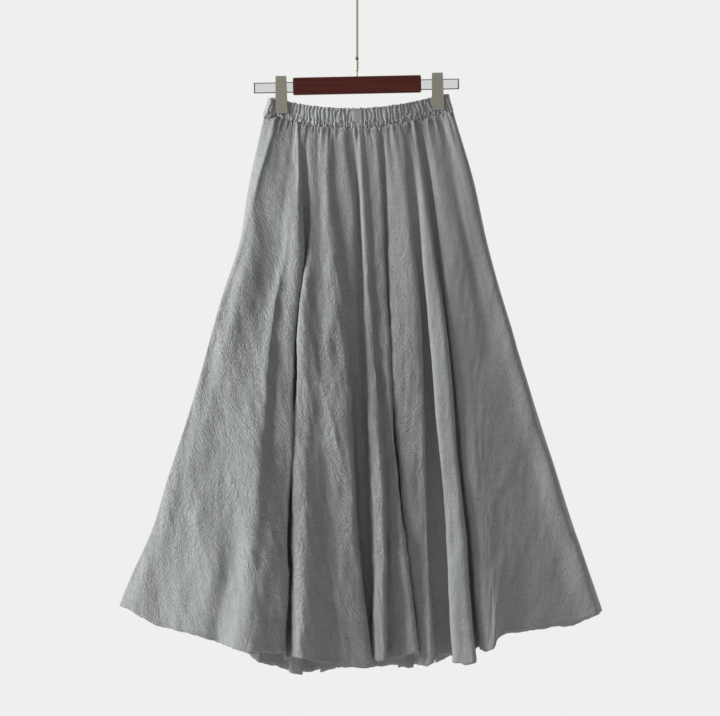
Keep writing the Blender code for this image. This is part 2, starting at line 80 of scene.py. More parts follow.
# %% World
world = bpy.data.worlds.new("pale studio")
bpy.context.scene.world = world
world.use_nodes = True
sky = world.node_tree
sky.nodes.clear()
seen = sky.nodes.new("ShaderNodeBackground")
seen.inputs["Color"].default_value = (0.863, 0.863, 0.863, 1.0)
lighting = sky.nodes.new("ShaderNodeBackground")
lighting.inputs["Color"].default_value = (0.985, 0.98, 0.972, 1.0)
lighting.inputs["Strength"].default_value = 0.245
path = sky.nodes.new("ShaderNodeLightPath")
pale = sky.nodes.new("ShaderNodeMath")
pale.operation = "MAXIMUM"
choose = sky.nodes.new("ShaderNodeMixShader")
output = sky.nodes.new("ShaderNodeOutputWorld")
sky.links.new(path.outputs["Is Camera Ray"], pale.inputs[0])
sky.links.new(path.outputs["Is Glossy Ray"], pale.inputs[1])
sky.links.new(pale.outputs[0], choose.inputs["Fac"])
sky.links.new(lighting.outputs["Background"], choose.inputs[1])
sky.links.new(seen.outputs["Background"], choose.inputs[2])
sky.links.new(choose.outputs["Shader"], output.inputs["Surface"])
print("world lighting strength:", lighting.inputs["Strength"].default_value)


# %% Lights and floor
def add_area_light(name, place, aim, size, power, colour=(1.0, 1.0, 1.0)):
    """A square soft light at a place, turned to face a point."""
    data = bpy.data.lights.new(name, "AREA")
    data.size = size
    data.energy = power
    data.color = colour
    light = bpy.data.objects.new(name, data)
    light.location = place
    direction = Vector(aim) - Vector(place)
    light.rotation_euler = direction.to_track_quat("-Z", "Y").to_euler()
    bpy.context.scene.collection.objects.link(light)


SKIRT_MIDDLE = (0.0, 0.0, -0.75)
add_area_light("key light", (-2.95, -0.66, 0.15), SKIRT_MIDDLE, 1.3, 137.0, (0.962, 0.98, 1.0))
add_area_light("back light", (3.3, 1.6, 0.4), SKIRT_MIDDLE, 1.6, 34.0)

FLOOR_Z, FLOOR_RADIUS = -1.46, 1.3
bm = bmesh.new()
bmesh.ops.create_circle(bm, cap_ends=True, segments=96, radius=FLOOR_RADIUS)
bmesh.ops.translate(bm, vec=(0, 0, FLOOR_Z), verts=bm.verts)
floor_mesh = bpy.data.meshes.new("floor")
bm.to_mesh(floor_mesh)
bm.free()
floor = bpy.data.objects.new("floor", floor_mesh)
bpy.context.scene.collection.objects.link(floor)
print("floor below the bar, m:", round(BAR_Z - FLOOR_Z, 3))


# %% [markdown]
# ## Finishes
#
# Each finish is a Principled shader with its pattern made from noise. A small helper adds a node
# and sets its sockets in one line, so that the recipe of each finish can be read at a glance.


# %% Helpers for node materials
def new_material(name, colour, roughness, metallic=0.0):
    """A Principled material and its node tree."""
    made = bpy.data.materials.new(name)
    made.use_nodes = True
    shader = made.node_tree.nodes["Principled BSDF"]
    shader.inputs["Base Color"].default_value = (*colour, 1.0)
    shader.inputs["Roughness"].default_value = roughness
    shader.inputs["Metallic"].default_value = metallic
    return made, shader


def add_node(material, kind, **sockets):
    """A node of that kind. Sockets are given by name with _ for a space; a socket is linked or set."""
    tree = material.node_tree
    node = tree.nodes.new("ShaderNode" + kind)
    for name, value in sockets.items():
        if isinstance(value, bpy.types.NodeSocket):
            tree.links.new(value, node.inputs[name.replace("_", " ")])
        else:
            node.inputs[name.replace("_", " ")].default_value = value
    return node


def add_math(material, operation, a, b=0.0):
    """A Math node's result. Each of a and b is a socket to link or a number to set."""
    node = material.node_tree.nodes.new("ShaderNodeMath")
    node.operation = operation
    for socket, value in zip(node.inputs, (a, b)):
        if isinstance(value, bpy.types.NodeSocket):
            material.node_tree.links.new(value, socket)
        else:
            socket.default_value = value
    return node.outputs[0]


def add_ramp(material, factor, stops):
    """A colour ramp with stops of (place, colour)."""
    node = material.node_tree.nodes.new("ShaderNodeValToRGB")
    ramp = node.color_ramp
    while len(ramp.elements) < len(stops):
        ramp.elements.new(0.5)
    for element, (place, colour) in zip(ramp.elements, stops):
        element.position = place
        element.color = (*colour, 1.0)
    material.node_tree.links.new(factor, node.inputs["Fac"])
    return node.outputs["Color"]


def add_noise(material, coordinates, scale, detail):
    """A noise node, from 0 to 1. The scale is one number, or one for each axis to stretch it."""
    if isinstance(scale, tuple):
        coordinates = add_node(material, "Mapping", Vector=coordinates, Scale=scale).outputs["Vector"]
        scale = 1.0
    return add_node(material, "TexNoise", Vector=coordinates, Scale=scale, Detail=detail)


def add_bump(material, shader, height, depth, strength=1.0, over=None):
    """Fine relief: height 0 to 1 stands for a depth in metres."""
    bump = add_node(material, "Bump", Height=height, Distance=depth)
    if isinstance(strength, bpy.types.NodeSocket):
        material.node_tree.links.new(strength, bump.inputs["Strength"])
    else:
        bump.inputs["Strength"].default_value = strength
    if over:
        material.node_tree.links.new(over, bump.inputs["Normal"])
    material.node_tree.links.new(bump.outputs["Normal"], shader.inputs["Normal"])
    return bump.outputs["Normal"]


# %% [markdown]
# ### The cloth
#
# The cloth is a plain weave that was crinkled when it was washed. Two things show: uneven threads a
# millimetre or two thick, across the cloth and along it, and small sharp creases about a centimetre
# apart with finer ones between them. A tile of woven cloth could be repeated over it, but noise
# never repeats. Both are laid on the cloth's own flat coordinates in metres, so they follow it
# round every fold. The threads are tone and relief, and the creases are relief alone. An attribute
# says how crumpled each part is.


# %% Cloth finish
CLOTH_COLOUR = (0.351, 0.357, 0.357)
# Each set of creases is noise: its turn on the cloth, and its cells to the metre on the turned axes.
SLANTING_CREASES = ((math.radians(33), (125.0, 60.0, 1.0)), (math.radians(-28), (140.0, 64.0, 1.0)))
FINE_CREASES = (0.0, (360.0, 260.0, 1.0))
FINE_SHARE = 0.75  # how high the fine creases stand beside the slanting ones
CREASE_SHARPNESS = 5.5  # how steeply a crease falls away from its crest
CREASE_DEPTH, BAND_CREASE_DEPTH, THREAD_DEPTH = 0.0014, 0.0009, 0.0005


def crease_ridges(made, flat, turn, scale):
    """Thin ridges, 1 on their crests and 0 between them: the places where noise crosses its middle."""
    turned = add_node(made, "Mapping", Vector=flat, Rotation=(0.0, 0.0, turn))
    crease = add_noise(made, turned.outputs["Vector"], scale, 2.0)
    away = add_math(made, "ABSOLUTE", add_math(made, "SUBTRACT", crease.outputs["Fac"], 0.5))
    height = add_math(made, "SUBTRACT", 1.0, add_math(made, "MULTIPLY", away, CREASE_SHARPNESS))
    return add_math(made, "MAXIMUM", height, 0.0)


def make_cloth(name, colour, crease_depth):
    """Crinkled cloth: uneven threads in tone and relief, and creases in relief."""
    made, shader = new_material(name, colour, 0.93)
    tree = made.node_tree
    flat = add_node(made, "UVMap").outputs["UV"]
    crumple = tree.nodes.new("ShaderNodeAttribute")
    crumple.attribute_name = "crumple"
    # Uneven threads: long thin streaks across the cloth, and finer ones along it.
    across = add_noise(made, flat, (22.0, 420.0, 1.0), 2.0)
    along = add_noise(made, flat, (520.0, 30.0, 1.0), 2.0)
    threads = add_math(made, "ADD", across.outputs["Fac"], along.outputs["Fac"])
    threads = add_math(made, "MULTIPLY", threads, 0.5)
    dark = tuple(0.86 * c for c in colour)
    light = tuple(1.10 * c for c in colour)
    toned = add_ramp(made, threads, ((0.36, dark), (0.50, colour), (0.64, light)))
    tree.links.new(toned, shader.inputs["Base Color"])
    shader.inputs["Sheen Weight"].default_value = 0.25
    shader.inputs["Sheen Roughness"].default_value = 0.6
    shader.inputs["Specular IOR Level"].default_value = 0.15
    # Creases: the flat coordinates are bent a little first, so that no crease runs straight.
    bend = add_noise(made, flat, 20.0, 1.0)
    bent = add_node(made, "VectorMath")
    bent.operation = "MULTIPLY_ADD"
    tree.links.new(bend.outputs["Color"], bent.inputs[0])
    bent.inputs[1].default_value = (0.02, 0.02, 0.0)
    tree.links.new(flat, bent.inputs[2])
    left, right = (crease_ridges(made, bent.outputs["Vector"], *crease) for crease in SLANTING_CREASES)
    fine = crease_ridges(made, bent.outputs["Vector"], *FINE_CREASES)
    # Which of the two slants wins changes slowly from place to place.
    place = add_noise(made, flat, 7.0, 1.0)
    wins = add_ramp(made, place.outputs["Fac"], ((0.40, (0.0, 0.0, 0.0)), (0.60, (1.0, 1.0, 1.0))))
    left = add_math(made, "MULTIPLY", left, wins)
    right = add_math(made, "MULTIPLY", right, add_math(made, "SUBTRACT", 1.0, wins))
    relief = add_math(made, "ADD", left, right)
    relief = add_math(made, "ADD", relief, add_math(made, "MULTIPLY", fine, FINE_SHARE))
    creased = add_bump(made, shader, relief, crease_depth, strength=crumple.outputs["Fac"])
    # Weave: the threads themselves, as relief over the creases.
    add_bump(made, shader, threads, THREAD_DEPTH, strength=0.6, over=creased)
    return made


cloth = make_cloth("crinkled cloth", CLOTH_COLOUR, CREASE_DEPTH)
print("cloth colour:", CLOTH_COLOUR)


# %% [markdown]
# ### The hanger's finishes
#
# The bar is hardwood with a red-brown stain under varnish: dark grain in long streaks, and a thin
# clear coat. The ends are polished steel strip. The clips have a matte grey-brown coating, and the
# hook is satin nickel wire. Metals, coatings and plastics share one recipe, because they differ
# only in colour, shine and how strong their speckle is.


# %% Hard finishes
STRIP_Z, STRIP_TALL = BAR_Z - 0.0015, 0.018  # the steel strip at both ends of the bar, across it
STRIP_MIDDLE, STRIP_HALF = -0.0010, 0.1745  # and along it, from one end of the hanger to the other
STRIP_END_POWER = 60.0  # keeps the painted dark reflection to the last two or three millimetres of the strip
HANG_SLOPE = math.tan(math.radians(1.2))  # the hanger hangs a little out of level


def make_wood():
    """Stained wood with its grain along the bar, under a thin clear coat."""
    made, shader = new_material("stained wood", (0.095, 0.018, 0.012), 0.45)
    place = add_node(made, "TexCoord").outputs["Object"]
    grain = add_noise(made, place, (14.0, 260.0, 260.0), 5.0)
    stain = ((0.30, (0.068, 0.012, 0.009)), (0.55, (0.098, 0.018, 0.013)), (0.75, (0.120, 0.026, 0.018)))
    made.node_tree.links.new(add_ramp(made, grain.outputs["Fac"], stain), shader.inputs["Base Color"])
    shader.inputs["Specular IOR Level"].default_value = 0.1
    shader.inputs["Coat Weight"].default_value = 0.10
    shader.inputs["Coat Roughness"].default_value = 0.12
    add_bump(made, shader, grain.outputs["Fac"], 0.0002, strength=0.35)
    return made


def make_speckled(name, colour, roughness, metallic, contrast, speckle=260.0):
    """A metal, a coating or a plastic with fine speckle in its tone, its shine and its surface."""
    made, shader = new_material(name, colour, roughness, metallic)
    place = add_node(made, "TexCoord").outputs["Object"]
    speck = add_noise(made, place, speckle, 4.0)
    light = tuple(min(1.0, c * (1 + contrast)) for c in colour)
    dark = tuple(c * (1 - 0.4 * contrast) for c in colour)
    tone = add_ramp(made, speck.outputs["Fac"], ((0.35, dark), (0.5, colour), (0.7, light)))
    made.node_tree.links.new(tone, shader.inputs["Base Color"])
    rough = add_math(made, "MULTIPLY_ADD", speck.outputs["Fac"], 0.2)
    rough.node.inputs[2].default_value = max(0.0, roughness - 0.1)
    made.node_tree.links.new(rough, shader.inputs["Roughness"])
    add_bump(made, shader, speck.outputs["Fac"], 0.0001, strength=0.2)
    return made


def paint_dark_edge_reflections(steel):
    """Painted reflection: the strip's rounded long edges and its ends are painted dark, as a dark line where
    they mirror dark surroundings.
    """
    place = add_node(steel, "TexCoord").outputs["Object"]
    axes = add_node(steel, "SeparateXYZ", Vector=place)
    tilt = add_math(steel, "MULTIPLY", axes.outputs["X"], HANG_SLOPE)
    height = add_math(steel, "SUBTRACT", add_math(steel, "SUBTRACT", axes.outputs["Z"], tilt), STRIP_Z)
    edge = add_math(steel, "ABSOLUTE", add_math(steel, "DIVIDE", height, STRIP_TALL / 2))
    reach = add_math(steel, "ABSOLUTE", add_math(steel, "ADD", axes.outputs["X"], -STRIP_MIDDLE))
    end = add_math(steel, "ADD", reach, 1 - STRIP_HALF - 0.0010)
    edge = add_math(steel, "MAXIMUM", edge, add_math(steel, "POWER", end, STRIP_END_POWER))
    # Painted reflection: the steel's colour on its faces, turning dark at its long edges and ends.
    painted_edge_reflection = ((0.80, (0.74, 0.74, 0.75)), (0.85, (0.10, 0.09, 0.085)), (1.0, (0.05, 0.045, 0.04)))
    shader = steel.node_tree.nodes["Principled BSDF"]
    steel.node_tree.links.new(add_ramp(steel, edge, painted_edge_reflection), shader.inputs["Base Color"])


wood = make_wood()
polished_steel = make_speckled("polished steel", (0.74, 0.74, 0.75), 0.16, 1.0, 0.05)
# Painted reflection: dark lines along the strip's edges and ends.
paint_dark_edge_reflections(polished_steel)
clip_coating = make_speckled("clip coating", (0.302, 0.290, 0.236), 0.45, 0.2, 0.05, speckle=700.0)
satin_nickel = make_speckled("satin nickel", (0.34, 0.30, 0.235), 0.48, 0.6, 0.05, speckle=900.0)
dark_ring = make_speckled("dark ring", (0.045, 0.040, 0.035), 0.45, 0.6, 0.2)
slider_plastic = make_speckled("slider plastic", (0.08, 0.08, 0.08), 0.6, 0.0, 0.15)
pad_rubber = make_speckled("pad rubber", (0.09, 0.09, 0.085), 0.9, 0.0, 0.1)
floor_paint = make_speckled("floor paint", (0.80, 0.80, 0.80), 0.8, 0.0, 0.02, speckle=8.0)
floor.data.materials.append(floor_paint)
print("materials:", sorted(made.name for made in bpy.data.materials))

# %% Put the finishes on the CAD pieces
NODE_FINISH = {
    "hanger_bar": wood,
    "rail_left": polished_steel,
    "rail_right": polished_steel,
    "clip_left": clip_coating,
    "clip_right": clip_coating,
    "slider_left": slider_plastic,
    "slider_right": slider_plastic,
    "pad_left_front": pad_rubber,
    "pad_left_back": pad_rubber,
    "pad_right_front": pad_rubber,
    "pad_right_back": pad_rubber,
    "hook": satin_nickel,
    "ferrule": satin_nickel,
    "collar": dark_ring,
}
for node_name, finish in NODE_FINISH.items():
    for socket in nodes[node_name].material_slots:
        socket.material = finish
print("finished CAD pieces:", len(NODE_FINISH))

# %% [markdown]
# ## Where the cloth hangs
#
# The folds are described the way a draper would: each fold line runs from the waist seam to the
# hem, and is a crest, a trough, a lip or the floor of a gap. A line has its distance from the
# middle at five heights, how far it stands out there, and how far below the bar it ends. At the
# waist it stands out from the waistband, and lower down from the skirt's middle plane. A smooth
# curve through all the lines at one height is a slice of the skirt.

# %% Fold lines
MM = 0.001
LEVELS = (0.0, 0.14, 0.36, 0.65, 1.0)  # waist seam, hip, thigh, knee and hem
ON_SEAM = (0, 0, 0, 0, 0)
FRONT_LINES = (
    ("left side seam", (-158, -185, -229, -297, -404), ON_SEAM, 885),
    ("left side hollow", (-141, -175, -226, -292, -398), (3.5, 10, 3.5, 4.5, 4.5), 887),
    ("left side fold", (-134, -171, -218, -283, -386), (5.5, 13, 5, 10, 12), 892),
    ("left sweep trough", (-130, -166, -202, -270, -343), (4.5, 12, 16, 19, 20), 914),
    ("left sweep ridge", (-116, -129, -172, -219, -262), (3, 12, 14.5, 32.5, 46), 934),
    ("left sweep dip", (-111, -121, -153, -189, -235), (2, 12.5, 18.5, 40.5, 44), 943),
    ("left crease", (-107, -112, -141, -163, -201), (2, 15.5, 27, 50, 68), 953),
    ("left crease slope", (-104, -105, -133, -149, -176), (3, 18.5, 25, 45, 74), 959),
    ("left lip", (-100, -100, -112, -121, -140), (6, 21, 29.5, 45, 60), 960),
    ("left lip edge", (-97, -94, -102, -111, -124), (5, 17.5, 26.5, 42.5, 48), 961),
    ("first gap, left floor", (-94, -92, -102, -112, -121), (6, 9, 9, 9, 10), 974),
    ("first gap, right floor", (-89, -84, -98, -109, -112), (5.5, 9, 9, 9, 10), 974),
    ("second fold edge", (-85, -80, -96, -107, -112), (4.5, 16.5, 28, 38, 42), 966),
    ("second fold crest", (-72, -73, -91, -88, -96), (3, 18.5, 31.5, 50, 72), 968),
    ("second fold trough", (-68, -63, -66, -51, -36), (2, 18, 28, 43.5, 44), 982),
    ("second fold ridge", (-49, -50, -42, -30, -14), (3, 22, 33.5, 47.5, 46), 985),
    ("second fold lip", (-43, -43, -20, -6, 21), (2.5, 20.5, 31.5, 45, 41), 984),
    ("second gap, left floor", (-40, -38, -10, -2, 22), (0, 16.5, 24, 9, 10), 984),
    ("upper middle fold", (-29, -6, -1, 7, 24), (3, 19.5, 22.5, 9.5, 11), 984),
    ("second gap, right floor", (-7, 2, 9, 20, 27), (1, 10, 14, 9, 10), 984),
    ("tube fold edge", (-2, 6, 12, 22, 28), (2, 16, 23, 28, 33.5), 974),
    ("tube fold crest", (4, 10, 19, 30, 36), (3, 19, 28.5, 39, 52.5), 974),
    ("tube fold lip", (9, 16, 26, 43, 48), (2, 17.5, 27.5, 41.5, 55), 974),
    ("middle trough", (13, 20, 30, 48, 51), (1, 14, 20, 29, 28), 977),
    ("middle fold face", (22, 32, 41, 56, 70), (3, 15, 21.5, 31, 36), 971),
    ("middle fold lip", (36, 42, 51, 66, 101), (2.5, 15, 20, 32.5, 43.5), 960),
    ("third gap, left floor", (40, 44, 51, 66, 99), (0, 9, 9, 9, 10), 974),
    ("third gap, right floor", (45, 50, 56, 72, 104), (1, 9, 9, 9, 10), 980),
    ("fourth fold edge", (49, 52, 58, 74, 106), (2, 14, 17, 24.5, 33.5), 982),
    ("fourth fold crest", (63, 70, 83, 98, 118), (3, 19, 23.5, 32.5, 38), 983),
    ("fourth fold lip", (77, 87, 106, 117, 127), (3, 20, 23.5, 32, 38), 980),
    ("fourth gap, left floor", (81, 92, 108, 118, 130), (3, 14.5, 9, 9, 10), 974),
    ("fourth gap, right floor", (86, 101, 117, 139, 161), (2, 14, 9, 9, 10), 968),
    ("fifth fold edge", (90, 105, 120, 144, 167), (3, 18, 25.5, 33, 44), 978),
    ("fifth fold crest", (94, 112, 134, 157, 182), (3.5, 21, 30, 38, 49.5), 981),
    ("fifth fold lip", (99, 118, 145, 170, 198), (2, 19, 29.5, 38, 51.5), 977),
    ("fifth gap, left floor", (102, 121, 147, 172, 199), (0, 9, 9, 9, 10), 962),
    ("fifth gap, right floor", (107, 127, 151, 176, 204), (1, 9, 9, 9, 10), 955),
    ("right sweep edge", (112, 130, 155, 180, 210), (2, 15, 20.5, 26, 38), 955),
    ("right sweep crest", (121, 138, 172, 199, 220), (3.5, 18, 23, 31.5, 46), 957),
    ("right sweep lip", (131, 150, 186, 208, 231), (3, 18, 22.5, 30, 47), 953),
    ("right sweep trough", (145, 158, 196, 216, 239), (0.5, 16.5, 22, 28.5, 46), 935),
    ("right sweep face", (151, 167, 209, 248, 286), (3, 15, 19, 24, 31), 925),
    ("right sweep ridge", (156, 177, 222, 283, 372), (3, 16.5, 20, 20, 17), 914),
    ("right side fold", (160, 195, 241, 313, 410), (3, 16, 20, 22, 22), 896),
    ("right side seam", (164, 199, 244, 318, 416), ON_SEAM, 891),
)
# A line of the back has its place at the waist and at the hem, and one reach.
BACK_LINES = (
    ("left side seam", -158, -406, 0.0),
    ("left side hollow", -150, -399, 0.25),
    ("left side fold", -136, -372, 0.75),
    ("left sweep trough", -122, -318, 0.55),
    ("left sweep ridge", -108, -262, 1.00),
    ("left sweep lip", -99, -234, 0.95),
    ("first gap, left floor", -96, -238, 0.10),
    ("first gap, right floor", -89, -222, 0.10),
    ("second fold edge", -86, -225, 0.70),
    ("second fold crest", -78, -206, 1.15),
    ("second fold trough", -66, -170, 0.70),
    ("second fold ridge", -55, -132, 1.05),
    ("second fold lip", -47, -112, 0.85),
    ("second gap, left floor", -45, -116, 0.08),
    ("second gap, right floor", -36, -96, 0.10),
    ("third fold edge", -33, -99, 0.75),
    ("third fold crest", -25, -80, 1.20),
    ("third fold lip", -17, -58, 0.85),
    ("third gap, left floor", -15, -61, 0.20),
    ("third gap, right floor", -8, -37, 0.20),
    ("fourth fold edge", -5, -39, 0.70),
    ("fourth fold crest", 6, -12, 1.10),
    ("fourth fold trough", 18, 22, 0.65),
    ("fourth fold ridge", 30, 56, 1.05),
    ("fourth fold lip", 38, 77, 0.85),
    ("fourth gap, left floor", 40, 73, 0.05),
    ("fourth gap, right floor", 48, 94, 0.10),
    ("fifth fold edge", 51, 91, 0.70),
    ("fifth fold crest", 60, 114, 1.20),
    ("fifth fold lip", 69, 140, 0.80),
    ("fifth gap, left floor", 71, 136, 0.15),
    ("fifth gap, right floor", 79, 160, 0.15),
    ("sixth fold edge", 82, 157, 0.70),
    ("sixth fold crest", 92, 182, 1.10),
    ("sixth fold lip", 102, 207, 0.85),
    ("sixth gap, left floor", 105, 203, 0.30),
    ("sixth gap, right floor", 111, 221, 0.35),
    ("right sweep edge", 114, 219, 0.75),
    ("right sweep crest", 124, 248, 1.00),
    ("right sweep trough", 134, 290, 0.60),
    ("right sweep ridge", 146, 340, 0.65),
    ("right side fold", 157, 392, 0.30),
    ("right side seam", 164, 416, 0.0),
)
BACK_FLARE = (0.0, 0.115, 0.29, 0.585, 1.0)  # how far from waist to hem the lines have spread by each level
# The back's hem: the distance from the middle, and how far below the bar it is there.
BACK_HEM = (
    (-406, 885), (-300, 924), (-215, 952), (-188, 975), (-160, 989), (-135, 996), (-105, 1003), (-70, 1003),
    (-45, 996), (0, 994), (65, 993), (110, 990), (142, 981), (175, 962), (234, 928), (350, 908), (416, 891),
)
print("fold lines: front", len(FRONT_LINES), "back", len(BACK_LINES))

# %% Sizes that the cloth shares with the hanger
CLIP_X = {"left": -0.129, "right": 0.137}
CLIP_HALF = 0.0095  # half of the length of waistband that a clip holds flat
BAND_HEIGHT, BAND_WALL, BAND_CENTRE = 0.033, 0.0036, 0.0025
BAND_PINCHED = BAND_WALL / 2 + 0.0009  # how far it stands out from the middle plane under a clip
BAND_BELLY = (0.0088, 0.0116, 0.0100)  # and between the clips: on the left, in the middle, on the right
BAND_HALF_TOP, BAND_HALF_BOTTOM = 0.1530, 0.1610
BAND_TOP, BAND_SAG, BAND_SAG_HALF = -0.019, 0.021, 0.142
# The back's folds deepen from the seam to the hem, over gaps whose floors stand a little way out.
GATHER_DEPTH, FOLD_DEPTH, FLOOR_DEPTH = 0.006, 0.052, 0.015
CLOTH_THICK, BAND_CLOTH_THICK = 0.0009, 0.0030
print("waistband, mm wide:", round(2000 * BAND_HALF_TOP), "to", round(2000 * BAND_HALF_BOTTOM))


# %% Helpers for rows of points
def run_along(points, axis=0):
    """How far along its row each point is. The row runs along that axis of an array of points."""
    steps = np.linalg.norm(np.diff(points, axis=axis), axis=-1)
    return np.insert(np.cumsum(steps, axis=axis), 0, 0.0, axis=axis)


def points_at(points, run, at):
    """Points at those distances along a row of points."""
    return np.stack([np.interp(at, run, points[:, k]) for k in range(3)], axis=-1)


def eased(t):
    """From 0 to 1 with a soft start and a soft stop."""
    t = np.clip(t, 0.0, 1.0)
    return t * t * (3 - 2 * t)


def smooth_through(knots, values, at):
    """Smooth values at places between knots, passing through each knot's value."""
    knots, values, at = np.asarray(knots, float), np.asarray(values, float), np.asarray(at, float)
    slopes = np.empty(len(knots))
    slopes[1:-1] = (values[2:] - values[:-2]) / (knots[2:] - knots[:-2])
    slopes[0] = (values[1] - values[0]) / (knots[1] - knots[0])
    slopes[-1] = (values[-1] - values[-2]) / (knots[-1] - knots[-2])
    i = np.clip(np.searchsorted(knots, at, side="right") - 1, 0, len(knots) - 2)
    span = knots[i + 1] - knots[i]
    t = (at - knots[i]) / span
    return (
        (1 + 2 * t) * (1 - t) ** 2 * values[i]
        + t * t * (3 - 2 * t) * values[i + 1]
        + span * (t * (1 - t) ** 2 * slopes[i] - t * t * (1 - t) * slopes[i + 1])
    )


def curve_through(points, at):
    """Points on the round curve through a row of points; at counts points from the first.

    The curve meets the skirt's middle plane squarely at both ends, so the side seams are round."""
    ends = points[[1, -2]] * np.array([1.0, -1.0, 1.0])
    full = np.concatenate([ends[:1], points, ends[1:]])
    i = np.minimum(at.astype(int), len(points) - 2)
    t = (at - i)[:, None]
    p0, p1, p2, p3 = full[i], full[i + 1], full[i + 2], full[i + 3]
    steps = ((p0, p1), (p1, p2), (p2, p3))
    k01, k12, k23 = (np.maximum(np.linalg.norm(b - a, axis=1), 1e-6)[:, None] ** 0.5 for a, b in steps)
    m1 = (p2 - p1) + k12 * ((p1 - p0) / k01 - (p2 - p0) / (k01 + k12))
    m2 = (p2 - p1) + k12 * ((p3 - p2) / k23 - (p3 - p1) / (k12 + k23))
    return (
        (1 + 2 * t) * (1 - t) ** 2 * p1
        + t * t * (3 - 2 * t) * p2
        + t * (1 - t) ** 2 * m1
        - t * t * (1 - t) * m2
    )


# %% [markdown]
# ## The waistband
#
# The waistband is a casing sewn round a strip of elastic that is much shorter than the cloth, so the
# cloth shirrs into small upright ribs all round. It could be simulated, but the ribs are regular
# enough to place: a grid is bent into a flat ring, pushed in and out in ribs, and given a wall. Two
# rows of stitching pinch it, one under the small frill along its top and one where the skirt hangs
# from it. At the middle of the front the casing was joined up, and there it lies flat.


# %% The waistband's ring
def band_outline(half):
    """Points round the front half of the flattened ring, seen from above, from the left end."""
    left_clip, right_clip = CLIP_X["left"], CLIP_X["right"]
    left, right = BAND_CENTRE - half, BAND_CENTRE + half
    front = [
        (left, 0.0),
        (left + 0.003, 0.0048),
        (left_clip - CLIP_HALF, BAND_PINCHED),
        (left_clip + CLIP_HALF, BAND_PINCHED),
        (left_clip / 2, BAND_BELLY[0]),
        (0.0, BAND_BELLY[1]),
        (right_clip / 2, BAND_BELLY[2]),
        (right_clip - CLIP_HALF, BAND_PINCHED),
        (right_clip + CLIP_HALF, BAND_PINCHED),
        (right - 0.003, 0.0048),
        (right, 0.0),
    ]
    outline = np.array([(x, -y, 0.0) for x, y in front])
    return curve_through(outline, np.linspace(0, len(outline) - 1, 400))


def band_ring(half, count):
    """A whole ring of points, evenly spaced round the waistband's mid wall, starting at the left end."""
    front = band_outline(half)
    back = front[::-1].copy()
    back[:, 1] = -0.75 * back[:, 1] - 0.25 * np.maximum(back[:, 1], -BAND_PINCHED)
    ring = np.concatenate([front, back[1:]])
    run = run_along(ring)
    return points_at(ring, run, np.linspace(0, run[-1], count + 1)), run[-1]


def band_top(x):
    """The height of the waistband's top edge, which sags between its ends."""
    sag = BAND_SAG * np.maximum(0.0, 1 - (x / BAND_SAG_HALF) ** 2)
    return BAR_Z + BAND_TOP - sag + x * HANG_SLOPE


def band_front(x):
    """How far in front of the middle plane the waistband's wall is at its bottom edge."""
    line = band_outline(BAND_HALF_BOTTOM)
    return np.interp(x, line[:, 0], -line[:, 1])


# %% Shaping helpers for cloth
def grid_mesh(columns, rows):
    """A flat grid of quads, columns by rows, with the points in reading order."""
    bm = bmesh.new()
    bmesh.ops.create_grid(bm, x_segments=columns, y_segments=rows, size=0.5)
    bm.verts.ensure_lookup_table()
    order = sorted(bm.verts, key=lambda v: (-round(v.co.y * rows), round(v.co.x * columns)))
    for i, v in enumerate(order):
        v.index = i
    bm.verts.sort()
    flat = bm.loops.layers.uv.new("UVMap")
    return bm, flat


def place_points(bm, flat, points, cloth_uv, crumple):
    """Moves the grid's points into place, and writes the flat coordinates and how crumpled each is."""
    layer = bm.verts.layers.float.new("crumple")
    bm.verts.ensure_lookup_table()
    for v, p, c in zip(bm.verts, points, crumple):
        v.co = p
        v[layer] = c
    for face in bm.faces:
        for loop in face.loops:
            loop[flat].uv = cloth_uv[loop.vert.index]


def finish_cloth(name, bm, thickness, offset, material):
    """Makes the piece and gives it a wall."""
    mesh = bpy.data.meshes.new(name)
    bm.to_mesh(mesh)
    bm.free()
    for polygon in mesh.polygons:
        polygon.use_smooth = True
    piece = bpy.data.objects.new(name, mesh)
    bpy.context.scene.collection.objects.link(piece)
    mesh.materials.append(material)
    wall = piece.modifiers.new("wall", "SOLIDIFY")
    wall.thickness = thickness
    wall.offset = offset
    return piece


def outward(grid):
    """Unit normals of a grid of points, from the steps between them, on the side that shows."""
    across = np.gradient(grid, axis=1)
    down = np.gradient(grid, axis=0)
    normal = np.cross(down, across)
    return normal / np.maximum(np.linalg.norm(normal, axis=2, keepdims=True), 1e-12)


def soft_noise(a, b, seed):
    """Smooth noise from -1 to 1 over two arrays of coordinates."""
    a, b = np.broadcast_arrays(a, b)
    values = [noise.noise((x, y, seed)) for x, y in zip(a.ravel(), b.ravel())]
    return np.array(values).reshape(a.shape)


def seam_flutter(x, facing):
    """How the sewn line between waistband and skirt wanders up and down. Facing is -1 in front."""
    side = 0.4 * facing
    return 0.0030 * soft_noise(x / 0.0065, side, 18.0) + 0.0012 * soft_noise(x / 0.0028, side, 19.0)


# %% Lay out the ring and its ribs
BAND_COLUMNS, BAND_ROWS = 1000, 32
RIB_PITCH, RIB_DEPTH = 0.0066, 0.0024
UPPER_SEAM, LOWER_SEAM = 0.14, 0.95  # how far down the waistband its two rows of stitching are

